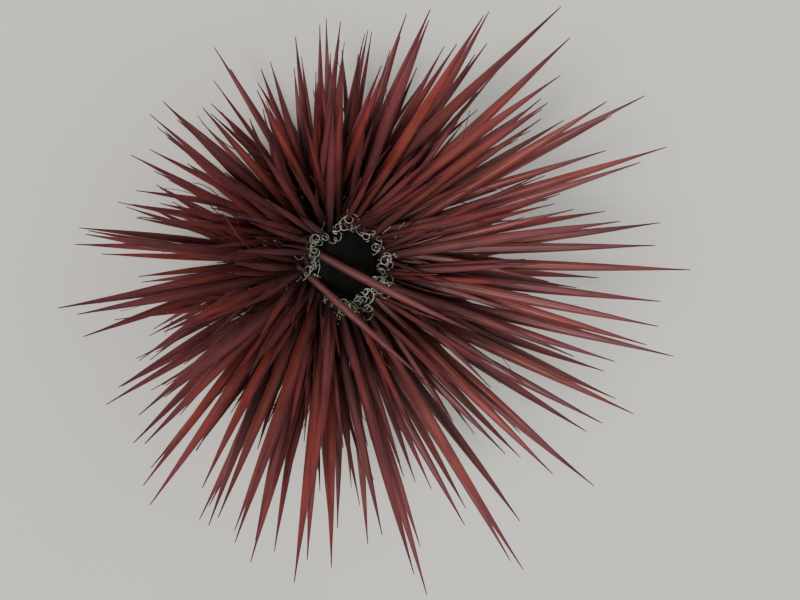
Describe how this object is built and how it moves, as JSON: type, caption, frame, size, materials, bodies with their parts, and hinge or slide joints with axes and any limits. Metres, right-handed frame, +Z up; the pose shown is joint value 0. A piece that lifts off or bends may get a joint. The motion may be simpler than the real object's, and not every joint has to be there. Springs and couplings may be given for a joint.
{
  "type": "needle-spined sea urchin, life-size still model",
  "caption": "Sea urchin with long tapering maroon needles spread round a bare black apical disc, standing on its short lower needles.",
  "frame": {"origin": "on the floor, under the middle of the box round the needles", "axes": "+Z up along the test's axis, from the mouth to the apical disc; the picture looks down from the -Y side"},
  "size_m": [0.078, 0.0784, 0.0443],
  "materials": {
    "maroon_needles": "satin, finely grooved",
    "black_skin": "dull wet skin"
  },
  "bodies": {
    "root": {"apical_disc": "black_skin", "mouth": "black_skin", "ambulacrum_1": "maroon_needles", "ambulacrum_2": "maroon_needles", "ambulacrum_3": "maroon_needles", "ambulacrum_4": "maroon_needles", "ambulacrum_5": "maroon_needles", "interambulacrum_1": "maroon_needles", "interambulacrum_2": "maroon_needles", "interambulacrum_3": "maroon_needles", "interambulacrum_4": "maroon_needles", "interambulacrum_5": "maroon_needles"}
  },
  "joints": []
}
